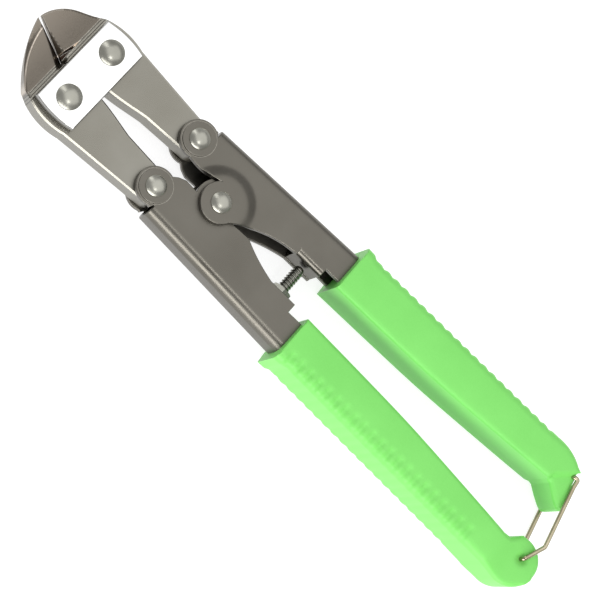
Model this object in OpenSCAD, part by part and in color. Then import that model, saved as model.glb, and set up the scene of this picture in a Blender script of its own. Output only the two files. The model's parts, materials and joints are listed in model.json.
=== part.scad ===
// Compound-lever mini bolt cutters, closed and latched, lying flat on the grips.
// +X points from the grips to the cutting jaws, +Y to the lower handle and +Z up.
// The parts are laid out about the centre pivot with the upper handle on the positive side, and
// place() brings them to the tool's own frame, whose origin is under the middle of the closed
// tool, on the surface that it lies on.

/* [Jaws] */
// Thickness of both jaws
jaw_thickness = 7.2; // [6.4:0.1:7.2]
// Distance from the centre pivot to the cutting tips, along the tool
tip_reach = 69; // [67:0.5:72]
// Sideways lean of the cutting line at the tips
tip_lean = 3.8; // [2:0.1:5]
// Gap left between the two cutting edges at the tips
tip_gap = 0.9; // [0.4:0.1:1.2]
// Angle of each cutting bevel to the jaw's flat middle plane
bevel_angle = 38; // [30:1:45]

/* [Linkage] */
// Distance along the tool from the centre pivot to the tail pivots of the jaws
tail_pivot_x = 15.8; // [15.4:0.1:16.2]
// Distance of each tail pivot from the middle line
tail_pivot_y = 9.1; // [9:0.1:9.4]
// Distance along the tool from the centre pivot to the pivots under the link plates
link_pivot_x = 48.8; // [48:0.1:50]
// Distance of each link pivot from the middle line
link_pivot_y = 8.6; // [8.3:0.1:8.9]
// Width of the link plates along the tool
plate_width = 13.4; // [12.4:0.1:13.6]
// Length of the link plates across the tool
plate_length = 30.6; // [29:0.1:31]
// Thickness of each link plate
plate_thickness = 3.1; // [2.4:0.1:3.1]

/* [Handles] */
// Thickness of the sheet that the handles are stamped from
sheet = 1.8; // [1.5:0.1:1.8]
// Outer height of the folded channel
channel_height = 11.4; // [11.2:0.1:11.5]
// Length of the channel that is hidden in each grip
tang_length = 77; // [60:1:77]

/* [Grips] */
// Thickness of the grips
grip_height = 18; // [18:0.1:18.6]
// Distance from the centre pivot to the mouths of the grips
grip_mouth = 38.9; // [38:0.1:41]
// Distance between the ribs on the outer side
rib_pitch = 3.45; // [3:0.05:4.5]
// Depth of the grooves between the ribs
rib_depth = 0.45; // [0.2:0.05:0.6]
// Thickness of the thinned grip ends that the latch straddles
grip_end_height = 14.6; // [13:0.1:14.8]

/* [Fasteners] */
// Diameter of the rivet shanks
shank_d = 4; // [3:0.1:4.4]
// Diameter of the heads on the link plates
plate_head_d = 7.2; // [6.4:0.1:7.6]
// Diameter of the heads at the tail and centre pivots
head_d = 6.0; // [5.2:0.1:6.4]
// Diameter of the stop screw
screw_d = 3.6; // [3:0.1:4]
// Width across the flats of the lock nut
nut_width = 5.6; // [5.4:0.1:6]
// Diameter of the latch wire
latch_wire_d = 1.3; // [1:0.1:1.4]
// Diameter of the return spring's wire
spring_wire_d = 1; // [0.8:0.1:1.2]

/* [Hidden] */

// Shared fits
fit = 0.05;              // radial clearance where a part turns on a rivet
loop_clearance = 0.22;   // radial clearance at the pivot where the closed linkage is opened
face_gap = 0.1;          // gap between flat faces that slide on each other
fine = 96;               // $fn of the large and visible round shapes
small = 48;              // $fn of bores, pins and wires
far = 400;               // longer than anything that it cuts

// Levels above the middle plane
jaw_z = jaw_thickness / 2;
plate_z = jaw_z + face_gap;
plate_top_z = plate_z + plate_thickness;
channel_z = channel_height / 2;
inner_z = channel_z - sheet;
boss_z = channel_z + 0.5;
joggle_z = channel_z + face_gap;
joggle_top_z = joggle_z + sheet;
grip_z = grip_height / 2;
end_z = grip_end_height / 2;
latch_z = end_z + 0.2 + latch_wire_d / 2;

tail_pivot = [tail_pivot_x, tail_pivot_y];
link_pivot = [link_pivot_x, link_pivot_y];
flat_ear_r = 6.8;        // the ear that lies inside at the centre pivot
joggled_ear_r = 5.7;     // the ear that is set outwards over it
joggle_inner_r = 7.15;
joggle_outer_r = 9.4;
tail_ear_r = 5.3;
tail_boss_r = 4.9;
head_h = 1.3;
plate_head_h = 1.5;

// The handle's outline, one side; the other handle is the same stamping turned over
web_front = [12.2, 16.2];
web_mouth = [-grip_mouth, 18.2];
tang_end = [-grip_mouth - tang_length, 18.8];
tang_inner_end = [tang_end[0], 12];
tang_inner_middle = [-80, 9.2];
mouth_inner = [-grip_mouth, 8.4];
stop_wall_x = [-33.8, -24.8];
stop_wall_y = 5.6;
screw_x = -29.4;
screw_tip_gap = 0.3;
nut_h = 2.4;
first_rib = grip_mouth + 3.4;
last_rib = 113;

// The grips
grip_end_r = 127.9;      // the upper grip ends inside this radius, so it swings past the latch
lower_end_x = -136;
hinge = [-129, -12.4];
crossbar = [-128.2, 13.9];
latch_knee = [-131.7, -5.6];
latch_shoulder = [-131.1, -7.3];

origin_x = (tip_reach + lower_end_x) / 2;

// Brings a part from the layout about the centre pivot to the tool's own frame
module place() {
    translate([-origin_x, 0, grip_z])
        mirror([0, 1, 0])
            children();
}

// Turns a part of the upper side over to the lower side
module flipped() {
    rotate([180, 0, 0])
        children();
}

// Points of an arc from p to q that bows to the left of that direction by the given rise
function bow(p, q, rise, steps = 10) =
    let (chord = norm(q - p), r = (chord * chord / 4 + rise * rise) / (2 * rise),
         u = (q - p) / chord, n = [-u[1], u[0]], c = (p + q) / 2 + n * (rise - r),
         half = asin(chord / 2 / abs(r)))
    [for (i = [0:steps])
        let (a = -half + 2 * half * i / steps)
        c + r * cos(a) * n + abs(r) * sin(a) * u];

// Points of a round corner about a centre
function corner(c, r, from, to, steps = 8) =
    [for (i = [0:steps]) let (a = from + (to - from) * i / steps) c + r * [cos(a), sin(a)]];

// A slab between two levels with the outline of its children
module slab(z0, z1) {
    translate([0, 0, z0])
        linear_extrude(z1 - z0)
            children();
}

module bore(at, r) {
    translate([at[0], at[1], -far / 2])
        cylinder(h = far, r = r, $fn = small);
}

// ---- jaws ----

edge_root = [57.8, -0.9];                            // inner end of the cutting line
edge_tip = [tip_reach, tip_lean];
edge_angle = atan2(edge_tip[1] - edge_root[1], edge_tip[0] - edge_root[0]);
edge_land = 0.25;                                    // half height of the blunt cutting edge
jaw_tail_r = 4.8;
bevel_start_x = 55.4;

// Behind the nose both jaws have the same outline, one mirrored: shoulder, arm, tail and crotch
function jaw_back(side) =
    [for (p = concat(
        bow([56.2, 15.4], [43, 16.2], -1.1),
        [[38.5, 15.8]],
        corner(tail_pivot, jaw_tail_r, 92, 275),
        [[30, 3.5], [41.5, 1.5], [53.4, 1.1], [bevel_start_x, 2.4]]))
    [p[0], side * p[1]]];

module upper_jaw_outline() {
    tip = edge_tip + [0, tip_gap / 2];
    polygon(concat([edge_root + [0, 0.1]], bow(tip, [62.4, 12.4], -1.3), [[58.8, 13.9]],
                   jaw_back(1)));
}

module lower_jaw_outline() {
    tip = edge_tip + [0.2, -tip_gap / 2];
    polygon(concat([edge_root - [0, 0.1]], bow(tip, [58.3, -14.6], 1.5), jaw_back(-1)));
}

// The wedge-shaped space above a cutting bevel
module bevel_space(side) {
    intersection() {
        translate([edge_root[0], edge_root[1], edge_land])
            rotate([0, 0, edge_angle])
                rotate([side * bevel_angle, 0, 0])
                    translate([-far / 2, -far / 2, 0])
                        cube([far, far, far]);
        translate([bevel_start_x, -far / 2, 0])
            cube([far, far, far]);
    }
}

// The hollow that the nose is ground to, above the jaw
module hollow_grind() {
    grind_r = 18;
    thinnest = 1.75;
    translate([65.5, 0, thinnest + grind_r])
        rotate([90, 0, 0])
            cylinder(h = far, r = grind_r, center = true, $fn = fine);
}

module ground_jaw(side, link_fit) {
    difference() {
        slab(-jaw_z, jaw_z)
            children();
        for (face = [0, 1])
            mirror([0, 0, face]) {
                hollow_grind();
                bevel_space(side);
            }
        bore([tail_pivot_x, side * tail_pivot_y], shank_d / 2 + fit);
        bore([link_pivot_x, side * link_pivot_y], shank_d / 2 + link_fit);
    }
}

module upper_jaw() {
    color("dimgray")
        place()
            ground_jaw(1, loop_clearance)
                upper_jaw_outline();
}

module lower_jaw() {
    color("dimgray")
        place()
            ground_jaw(-1, fit)
                lower_jaw_outline();
}

// ---- link plates ----

// Straight along both long sides, and bowed a little at both ends
module plate_outline(inset) {
    end_r = 26;
    end_y = end_r - plate_length / 2 + inset;
    intersection() {
        translate([link_pivot_x, 0])
            square([plate_width - 2 * inset, far], center = true);
        translate([link_pivot_x, end_y])
            circle(r = end_r, $fn = 2 * fine);
        translate([link_pivot_x, -end_y])
            circle(r = end_r, $fn = 2 * fine);
    }
}

// The outer edges are rounded off in two steps
module link_plate() {
    round_off = 0.6;
    difference() {
        union() {
            slab(plate_z, plate_top_z - round_off)
                plate_outline(0);
            slab(plate_top_z - round_off, plate_top_z - round_off / 3)
                plate_outline(round_off / 4);
            slab(plate_top_z - round_off / 3, plate_top_z)
                plate_outline(round_off * 3 / 4);
        }
        for (side = [-1, 1])
            bore([link_pivot_x, side * link_pivot_y], shank_d / 2);
    }
}

module front_link_plate() {
    color("gainsboro")
        place()
            link_plate();
}

module rear_link_plate() {
    color("gainsboro")
        place()
            flipped()
                link_plate();
}

// ---- rivets ----

// A shank with the same domed head at both ends
module rivet(at, seat_z, width, height) {
    dome_r = (width * width / 4 + height * height) / (2 * height);
    translate([at[0], at[1], 0]) {
        cylinder(h = 2 * seat_z, d = shank_d, center = true, $fn = small);
        for (face = [0, 1])
            mirror([0, 0, face])
                intersection() {
                    translate([0, 0, seat_z + height - dome_r])
                        sphere(r = dome_r, $fn = fine);
                    translate([0, 0, seat_z])
                        cylinder(h = 2 * height, d = 2 * width, $fn = small);
                }
    }
}

module upper_jaw_rivet() {
    color("silver")
        place()
            rivet(link_pivot, plate_top_z, plate_head_d, plate_head_h);
}

module lower_jaw_rivet() {
    color("silver")
        place()
            flipped()
                rivet(link_pivot, plate_top_z, plate_head_d, plate_head_h);
}

module upper_tail_rivet() {
    color("silver")
        place()
            rivet(tail_pivot, boss_z, head_d, head_h);
}

module lower_tail_rivet() {
    color("silver")
        place()
            flipped()
                rivet(tail_pivot, boss_z, head_d, head_h);
}

module centre_rivet() {
    color("silver")
        place()
            rivet([0, 0], joggle_top_z, head_d, head_h);
}

// ---- handle channels ----

// What both faces of the channel share, from the tail ear to the end of the tang
function face_back() = [
    tail_pivot, [13.2, 14.5], web_front, web_mouth, tang_end, tang_inner_end, tang_inner_middle,
    mouth_inner, [stop_wall_x[0], mouth_inner[1]], [stop_wall_x[0], stop_wall_y]];

module flat_face() {
    polygon(concat(face_back(),
        bow([stop_wall_x[1], stop_wall_y], [-12.5, 1.5], 0.4),
        [[-6.6, 1.7], [6.4, 2.3], [10.6, 2.1], [14, 4]]));
    circle(r = flat_ear_r, $fn = fine);
    translate(tail_pivot)
        circle(r = tail_ear_r, $fn = fine);
}

module joggled_face() {
    polygon(concat(face_back(),
        bow([stop_wall_x[1], stop_wall_y], [-5.2, -2.4], 1.7),
        [[3.5, 4.5], [6.6, 3.9], [14, 3.9]]));
    circle(r = joggled_ear_r, $fn = fine);
    translate(tail_pivot)
        circle(r = tail_ear_r, $fn = fine);
}

// Around the centre pivot the front face is pressed outwards by its own thickness
module joggled_sheet() {
    slope = 1.6;
    difference() {
        slab(inner_z, channel_z)
            joggled_face();
        cylinder(h = far, r = joggle_inner_r, $fn = fine);
    }
    intersection() {
        slab(inner_z, joggle_top_z)
            joggled_face();
        difference() {
            union() {
                cylinder(h = channel_z, r = joggle_outer_r, $fn = fine);
                translate([0, 0, channel_z])
                    cylinder(h = joggle_top_z - channel_z, r1 = joggle_outer_r,
                             r2 = joggle_outer_r - slope, $fn = fine);
            }
            translate([0, 0, -1])
                cylinder(h = joggle_z + 1, r = joggle_inner_r, $fn = fine);
        }
    }
}

// The folded back of the channel, and the bent tab that stops the handles
module web_and_stop() {
    inward = [0, -sheet];
    slab(-channel_z, channel_z)
        polygon([web_front, web_mouth, tang_end, tang_end + inward, web_mouth + inward,
                 web_front + inward]);
    slab(-channel_z, channel_z)
        translate([stop_wall_x[0], stop_wall_y])
            square([stop_wall_x[1] - stop_wall_x[0], sheet]);
}

module along_screw(y0, y1) {
    translate([screw_x, y0, 0])
        rotate([-90, 0, 0])
            linear_extrude(y1 - y0)
                children();
}

// One stamping serves for both handles; the pivot hole grips the rivet on one of them only
module handle_stamping(centre_fit) {
    difference() {
        union() {
            joggled_sheet();
            slab(-channel_z, -inner_z)
                flat_face();
            web_and_stop();
            for (face = [0, 1])
                mirror([0, 0, face])
                    translate([tail_pivot_x, tail_pivot_y, inner_z])
                        cylinder(h = boss_z - inner_z, r = tail_boss_r, $fn = fine);
        }
        bore(tail_pivot, shank_d / 2);
        bore([0, 0], shank_d / 2 + centre_fit);
        along_screw(0, stop_wall_y + 2 * sheet)
            circle(d = screw_d + 2 * fit, $fn = small);
    }
}

module upper_handle_channel() {
    color("gray")
        place()
            handle_stamping(fit);
}

module lower_handle_channel() {
    color("gray")
        place()
            flipped()
                handle_stamping(0);
}

// ---- spring, bush and stop screw ----

bush_r = 3;

module spring_bush() {
    color("silver")
        place()
            translate([0, 0, face_gap - inner_z])
                difference() {
                    cylinder(h = 2 * inner_z - face_gap, r = bush_r, $fn = fine);
                    translate([0, 0, -1])
                        cylinder(h = far, d = shank_d, $fn = small);
                }
}

// Close-wound coils around the bush, with a leg into each handle
module return_spring() {
    coils = 7;
    coil_r = bush_r + 1.2;
    pitch = spring_wire_d * 0.98;
    leg_angle = 30;
    leg_length = 13.8;
    end_coil_z = pitch * (coils - 1) / 2;
    color("darkgray")
        place() {
            for (i = [0:coils - 1])
                translate([0, 0, i * pitch - end_coil_z])
                    rotate_extrude($fn = fine)
                        translate([coil_r, 0])
                            circle(d = spring_wire_d, $fn = 24);
            for (turn = [0, 180])
                rotate([turn, 0, 0])
                    rotate([0, 0, leg_angle])
                        translate([coil_r, 0, end_coil_z])
                            rotate([-90, 0, 0])
                                cylinder(h = leg_length, d = spring_wire_d, $fn = 24);
        }
}

// The end that bears on the other handle's tab is domed, and the other end has a hex socket
module stop_screw() {
    back_y = -11;
    tip_y = stop_wall_y - screw_tip_gap;
    dome = 0.8;
    socket_depth = 1.8;
    color("silver")
        place()
            difference() {
                union() {
                    along_screw(back_y, tip_y - dome)
                        circle(d = screw_d, $fn = small);
                    translate([screw_x, tip_y - dome, 0])
                        rotate([-90, 0, 0])
                            cylinder(h = dome, d1 = screw_d, d2 = screw_d - 2 * dome, $fn = small);
                }
                along_screw(back_y - 1, back_y + socket_depth)
                    circle(d = screw_d / 2, $fn = 6);
            }
}

module lock_nut() {
    color("silver")
        place()
            difference() {
                along_screw(-stop_wall_y, nut_h - stop_wall_y)
                    circle(d = nut_width / cos(30), $fn = 6);
                along_screw(-far / 2, far / 2)
                    circle(d = screw_d + 2 * fit, $fn = small);
            }
}

// ---- grips ----

grip_outer_mouth = [-grip_mouth, 20];
grip_outer_end = [-115, 20.9];
grip_inner = [[-grip_mouth, 6.2], [-80, 7.4], [-104, 9.1], [-120, 10.4]];

function reversed(list) = [for (i = [len(list) - 1:-1:0]) list[i]];

// The upper grip ends in a short lobe, cut off on an arc about the centre pivot
module upper_grip_outline() {
    lobe = [-127.2, 7.6];
    end_corner = [-126.7, 16.4];
    lobe_angle = 180 - asin(8.2 / grip_end_r);
    corner_angle = 180 - asin(15.6 / grip_end_r);
    polygon(concat([grip_outer_mouth, grip_outer_end],
        bow(grip_outer_end, end_corner, -1.6),
        corner([0, 0], grip_end_r, corner_angle, lobe_angle),
        [lobe, [-123.6, 9]],
        reversed(grip_inner)));
}

// The lower grip is longer and ends in a round lobe that holds the latch
module lower_grip_outline() {
    lobe = [-127, 6.6];
    lobe_start = [-124, grip_outer_end[1]];
    lobe_end = [lower_end_x, 12];
    polygon(concat([grip_outer_mouth, grip_outer_end],
        bow(lobe_start, lobe_end, -4.2),
        bow(lobe_end, lobe, -2.5),
        [[-125.4, 6.8], [-123.8, 8.7]],
        reversed(grip_inner)));
}

// Rounds the outer side of a grip along its whole length
module rounded_bar() {
    edge_r = 3;
    side_y = 21.2;
    rotate([90, 0, -90])
        linear_extrude(far / 2)
            polygon(concat(
                [[-side_y, 0]],
                corner([edge_r - side_y, edge_r - grip_z], edge_r, 180, 270),
                [[20, -grip_z], [20, grip_z]],
                corner([edge_r - side_y, grip_z - edge_r], edge_r, 90, 180)));
}

module rib_grooves() {
    groove_r = 2.7;
    for (x = [first_rib:rib_pitch:last_rib]) {
        along = (x - grip_mouth) / (-grip_outer_end[0] - grip_mouth);
        side_y = grip_outer_mouth[1] + along * (grip_outer_end[1] - grip_outer_mouth[1]);
        bore([-x, side_y + groove_r - rib_depth], groove_r);
    }
}

module grip(thick_part) {
    difference() {
        intersection() {
            union() {
                slab(-grip_z, grip_z)
                    intersection() {
                        children();
                        polygon(thick_part);
                    }
                slab(-end_z, end_z)
                    children();
            }
            rounded_bar();
        }
        rib_grooves();
        slab(-channel_z, channel_z)
            polygon([web_mouth + [1, 0], tang_end, tang_inner_end, tang_inner_middle, mouth_inner,
                     mouth_inner + [1, 0]]);
    }
}

module upper_grip() {
    color("lightgreen")
        place()
            grip([[-119.3, 9.9], [-128, 19.6], [-128, far], [0, far], [0, 0], [-110, 0]])
                upper_grip_outline();
}

module lower_grip() {
    shoulder_x = -125.9;
    hole_depth = 3;
    color("lightgreen")
        place()
            flipped()
                difference() {
                    grip([[shoulder_x, 0], [shoulder_x, far], [0, far], [0, 0]])
                        lower_grip_outline();
                    for (face = [0, 1])
                        mirror([0, 0, face])
                            translate([hinge[0], -hinge[1], end_z - hole_depth])
                                cylinder(h = far, d = latch_wire_d + 2 * fit, $fn = small);
                }
}

// ---- latch ----

module rod(p, q, d) {
    v = q - p;
    translate(p)
        rotate([0, acos(v[2] / norm(v)), atan2(v[1], v[0])])
            cylinder(h = norm(v), d = d, $fn = 24);
}

// A wire bail: each leg is hooked into the lower grip, and the crossbar joins the two. The wire is
// a little fuller where it bends.
module latch_wire() {
    hook_depth = 2.6;
    bend_d = latch_wire_d + 0.06;
    leg = [
        [hinge[0], hinge[1], end_z - hook_depth],
        [hinge[0], hinge[1], latch_z],
        [latch_shoulder[0], latch_shoulder[1], latch_z],
        [latch_knee[0], latch_knee[1], latch_z],
        [crossbar[0], crossbar[1], latch_z]];
    last = len(leg) - 1;
    color("darkkhaki")
        place() {
            for (face = [0, 1])
                mirror([0, 0, face])
                    for (i = [0:last - 1]) {
                        rod(leg[i], leg[i + 1], latch_wire_d);
                        translate(leg[i + 1])
                            sphere(d = bend_d, $fn = 24);
                    }
            rod([crossbar[0], crossbar[1], -latch_z], leg[last], latch_wire_d);
        }
}

upper_jaw();
lower_jaw();
front_link_plate();
rear_link_plate();
upper_jaw_rivet();
lower_jaw_rivet();
upper_handle_channel();
lower_handle_channel();
upper_tail_rivet();
lower_tail_rivet();
centre_rivet();
spring_bush();
return_spring();
stop_screw();
lock_nut();
upper_grip();
lower_grip();
latch_wire();
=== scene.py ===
"""Looks of a mini bolt cutter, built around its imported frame.

Lengths are in millimetres about the centre pivot, on the tool's middle plane, and settle() brings
them to the frame. Shapes are drawn with the upper handle on the positive side of Y, as in the CAD.
"""

import json
import math

import bmesh
import bpy
from mathutils import Matrix, Vector


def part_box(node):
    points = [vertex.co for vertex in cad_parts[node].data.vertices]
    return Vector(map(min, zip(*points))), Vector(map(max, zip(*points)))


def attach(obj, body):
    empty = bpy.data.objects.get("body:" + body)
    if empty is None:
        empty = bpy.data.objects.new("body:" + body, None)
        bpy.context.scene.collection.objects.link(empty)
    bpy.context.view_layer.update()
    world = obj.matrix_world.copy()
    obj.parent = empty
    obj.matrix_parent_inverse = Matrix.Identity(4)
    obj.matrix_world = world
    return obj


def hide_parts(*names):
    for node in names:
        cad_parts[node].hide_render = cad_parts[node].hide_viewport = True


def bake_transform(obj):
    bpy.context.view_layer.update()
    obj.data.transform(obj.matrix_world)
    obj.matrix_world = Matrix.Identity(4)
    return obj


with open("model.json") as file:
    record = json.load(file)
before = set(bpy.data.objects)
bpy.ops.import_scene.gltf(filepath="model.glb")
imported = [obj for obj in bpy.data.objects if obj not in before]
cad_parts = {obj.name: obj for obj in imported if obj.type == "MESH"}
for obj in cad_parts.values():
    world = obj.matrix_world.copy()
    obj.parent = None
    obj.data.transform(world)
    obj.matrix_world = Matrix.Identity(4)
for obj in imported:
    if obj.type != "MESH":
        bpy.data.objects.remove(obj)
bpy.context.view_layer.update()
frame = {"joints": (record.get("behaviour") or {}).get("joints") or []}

MM = 0.001
pivots = {j["name"]: Vector(j["pos_m"]) for j in frame["joints"] if j.get("pos_m")}
CENTRE = pivots["handle_pivot"]


def from_pivot(name):
    """A pivot's place in the layout, in millimetres."""
    at = (pivots[name] - CENTRE) / MM
    return Vector((at.x, -at.y))


def corners(node):
    """A CAD node's lowest and highest corners, in millimetres about the centre pivot."""
    low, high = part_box(node)
    return (low - CENTRE) / MM, (high - CENTRE) / MM


TAIL = from_pivot("upper_jaw_pivot")
LINK = Vector((from_pivot("link_pivot").x, -from_pivot("link_pivot").y))
HINGE = from_pivot("latch_swing")

# Heights above the middle plane
JAW_Z = corners("upper_jaw")[1].z
PLATE_Z, PLATE_TOP_Z = corners("front_link_plate")[0].z, corners("front_link_plate")[1].z
GRIP_Z = corners("upper_grip")[1].z
GRIP_END_Z = 7.3
JOGGLE_TOP_Z = corners("upper_handle_channel")[1].z
BOSS_RISE = 0.5
CHANNEL_Z = -corners("upper_handle_channel")[0].z - BOSS_RISE
BOSS_Z = CHANNEL_Z + BOSS_RISE
LATCH_Z = corners("latch_wire")[1].z - 0.68  # the wire's own middle line

# Stock sizes
SHEET = 1.8
LATCH_WIRE_R = 0.65
SHANK_R = 2.0
LARGE_HEAD, SMALL_HEAD = (7.2, 1.5), (6.0, 1.3)  # width and height of the rivets' heads
SHANK_HOLE_R = 2.05
LINK_HOLE_R = 2.22  # the upper jaw's, where the closed linkage is opened

# Grinding of the jaws' noses. Bevels are the rise of half the thickness over the run
EDGE_ROOT = Vector((57.8, -0.9))
EDGE_TIP = Vector((69, 3.8))
ALONG_EDGE = (EDGE_TIP - EDGE_ROOT).normalized()
EDGE_LAND = 0.2
UPPER_BEVEL, LOWER_BEVEL = 2.6, 1.15
BEVEL_START_X = 55.6
CHEEK_STEPS, CHEEK_DROP = (55.75, 56.35), 0.22
NOSE_START_X = 57
GRIND_X, GRIND_R, THINNEST = 70, 38, 0.95

# The sunk triangle behind the upper jaw's edge, and the ridge outside the lower jaw's bevel
RELIEF_FRONT = Vector((58.1, -1.4)), Vector((56.9, 4.2))
RELIEF_BACK = Vector((56.5, -1.4)), Vector((56.9, 4.2))
RELIEF_CHAMFER = 0.45
RELIEF_HALF, RELIEF_WALL = 0.9, 0.08
OUTER_RIDGE_CENTRE, OUTER_RIDGE_R = Vector((38.7, 5.6)), 28.0

NEAR = 1e-3


def beyond(line, p):
    """How far p lies to the right of a line through two points."""
    along = (line[1] - line[0]).normalized()
    return (p - line[0]).cross(along)


# ---- outlines ----


def bow(p, q, rise, steps=14):
    """Points of an arc from p to q, bowed to the left of that direction by rise."""
    p, q = Vector(p), Vector(q)
    chord = (q - p).length
    r = (chord * chord / 4 + rise * rise) / (2 * rise)
    u = (q - p) / chord
    n = Vector((-u.y, u.x))
    centre = (p + q) / 2 + n * (rise - r)
    half = math.asin(chord / 2 / abs(r))
    turns = [-half + 2 * half * i / steps for i in range(steps + 1)]
    return [centre + r * math.cos(a) * n + abs(r) * math.sin(a) * u for a in turns]


def arc(centre, r, start, end, steps=20):
    """Points of an arc about a centre, from one angle in degrees to another."""
    turns = [math.radians(start + (end - start) * i / steps) for i in range(steps + 1)]
    return [Vector(centre) + r * Vector((math.cos(a), math.sin(a))) for a in turns]


def flowing(points, spacing=1.5):
    """A smooth line through points, as a Catmull-Rom curve."""
    points = [Vector(p) for p in points]
    line = []
    for i in range(len(points) - 1):
        p1, p2 = points[i], points[i + 1]
        p0 = points[i - 1] if i else p1 - (p2 - p1)
        p3 = points[i + 2] if i + 2 < len(points) else p2 + (p2 - p1)
        steps = max(2, round((p2 - p1).length / spacing))
        for k in range(steps):
            t = k / steps
            line.append(
                0.5 * (2 * p1 + (p2 - p0) * t + (2 * p0 - 5 * p1 + 4 * p2 - p3) * t * t
                       + (3 * p1 - p0 - 3 * p2 + p3) * t * t * t)
            )
    return line + [points[-1]]


def tidy_outline(points, least=0.05):
    """The outline without points that lie on top of the one before."""
    points = [Vector(p) for p in points]
    return [p for i, p in enumerate(points) if (p - points[i - 1]).length > least]


def smooth(low, high, x):
    """0 below low, 1 above high, and a soft step between them."""
    t = min(1, max(0, (x - low) / (high - low)))
    return t * t * (3 - 2 * t)


def inset(points, depth):
    """The outline moved inwards by depth(p, q) along its side pq. Each point comes with the way
    back out and the edge radius there. The length of a corner's mitre is limited."""
    straight, corner, longest = 0.12, 0.5, 2.5
    count = len(points)
    moved = []
    for i in range(count):
        p0, p1, p2 = points[i - 1], points[i], points[(i + 1) % count]
        u, v = (p1 - p0).normalized(), (p2 - p1).normalized()
        a, b = depth(p0, p1), depth(p1, p2)
        n_u, n_v = Vector((-u.y, u.x)), Vector((-v.y, v.x))
        turn = u.x * v.y - u.y * v.x
        if abs(turn) < straight:
            step = (n_u + n_v).normalized() * (a + b) / 2
        else:
            along = (a * u.dot(v) - b) / turn
            step = n_u * a + u * along
            step *= min(1, longest * max(a, b) / step.length)
        radius = (a + b) / 2 if abs(turn) < corner else max(a, b)
        moved.append((p1 + step, -step, radius))
    return moved


# ---- solids ----


def finish_mesh(name, verts, faces):
    """A mesh object from points and faces, in layout millimetres."""
    mesh = bpy.data.meshes.new(name)
    mesh.from_pydata([tuple(v) for v in verts], [], faces)
    obj = bpy.data.objects.new(name, mesh)
    bpy.context.scene.collection.objects.link(obj)
    return obj


def thicken(name, bm, half, rim, steps, groove=None):
    """A solid from a middle surface. half(v) is the half thickness at a vertex, rim(v) gives the
    way out to the true edge and the edge radius there, and groove(v) is the depth of a groove cut
    into the side. An edge radius takes up nine tenths of the half thickness at most."""
    fullest = 0.9
    bm.normal_update()
    bm.verts.index_update()
    count = len(bm.verts)
    halves = [half(v) for v in bm.verts]
    verts = [v.co + v.normal * h for v, h in zip(bm.verts, halves)]
    verts += [v.co - v.normal * h for v, h in zip(bm.verts, halves)]
    faces = [[v.index for v in f.verts] for f in bm.faces]
    faces += [[v.index + count for v in reversed(f.verts)] for f in bm.faces]
    rows = {}
    for v in bm.verts:
        if not v.is_boundary:
            continue
        out, radius = rim(v)
        h = halves[v.index]
        radius = min(radius, fullest * h)
        depth = groove(v) if groove else 0
        side = out.normalized()
        chain = [v.index]
        levels = [(i / steps, 1) for i in range(1, steps + 1)]
        middle = [(1, 0)] if groove else []
        for share, sign in levels + middle + [(s, -1) for s, _ in reversed(levels)]:
            turn = math.radians(90 * share)
            up = sign * (h - radius + radius * math.cos(turn))
            place = v.co + out * math.sin(turn) + v.normal * up
            place -= side * depth * math.sin(turn) ** 2
            chain.append(len(verts))
            verts.append(place)
        rows[v.index] = chain + [v.index + count]
    for e in bm.edges:
        if not e.is_boundary:
            continue
        loop = e.link_loops[0]
        a, b = rows[loop.vert.index], rows[loop.link_loop_next.vert.index]
        for i in range(len(a) - 1):
            faces.append([b[i], a[i], a[i + 1], b[i + 1]])
    bm.free()
    return finish_mesh(name, verts, faces)


def cut(bm, place, normal):
    """Cuts a flat mesh along the line where an upright plane crosses it."""
    geometry = bm.verts[:] + bm.edges[:] + bm.faces[:]
    bmesh.ops.bisect_plane(bm, geom=geometry, dist=1e-4, plane_co=place, plane_no=normal)


def cut_lines(bm, axis, places):
    """Cuts a flat mesh along lines across the given axis."""
    normal = Vector((1, 0, 0)) if axis == "x" else Vector((0, 1, 0))
    for place in places:
        cut(bm, normal * place, normal)


def steps_between(low, high, step):
    """Places from low to high, evenly spaced by about the given step."""
    count = max(1, round((high - low) / step))
    return [low + (high - low) * i / count for i in range(count + 1)]


def flat_mesh(points, z=0.0):
    """A mesh of one flat face at the level z."""
    bm = bmesh.new()
    bm.faces.new([bm.verts.new((p.x, p.y, z)) for p in points])
    return bm


def slab(name, outline, edge, half, steps, x_cuts=(), y_cuts=(), groove=None, slant_cuts=()):
    """A flat bar about the middle plane. edge(p, q) is the edge radius along side pq, rounded in
    a number of steps, so that one step makes a chamfer. A slanting cut is given as two points."""
    outline = tidy_outline(outline)
    moved = inset(outline, edge)
    bm = flat_mesh([m[0] for m in moved])
    cut_lines(bm, "x", x_cuts)
    cut_lines(bm, "y", y_cuts)
    for p, q in slant_cuts:
        along = (Vector(q) - Vector(p)).normalized()
        cut(bm, (*p, 0), (-along.y, along.x, 0))

    def rim(v):
        p, best = v.co.xy, None
        for i, (a, out_a, r_a) in enumerate(moved):
            b, out_b, r_b = moved[(i + 1) % len(moved)]
            t = min(1, max(0, (p - a).dot(b - a) / (b - a).length_squared))
            away = (a.lerp(b, t) - p).length_squared
            if best is None or away < best[0]:
                best = (away, out_a.lerp(out_b, t), r_a + (r_b - r_a) * t)
        return best[1].to_3d(), best[2]

    return thicken(name, bm, lambda v: half(v.co.x, v.co.y), rim, steps, groove)


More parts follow.
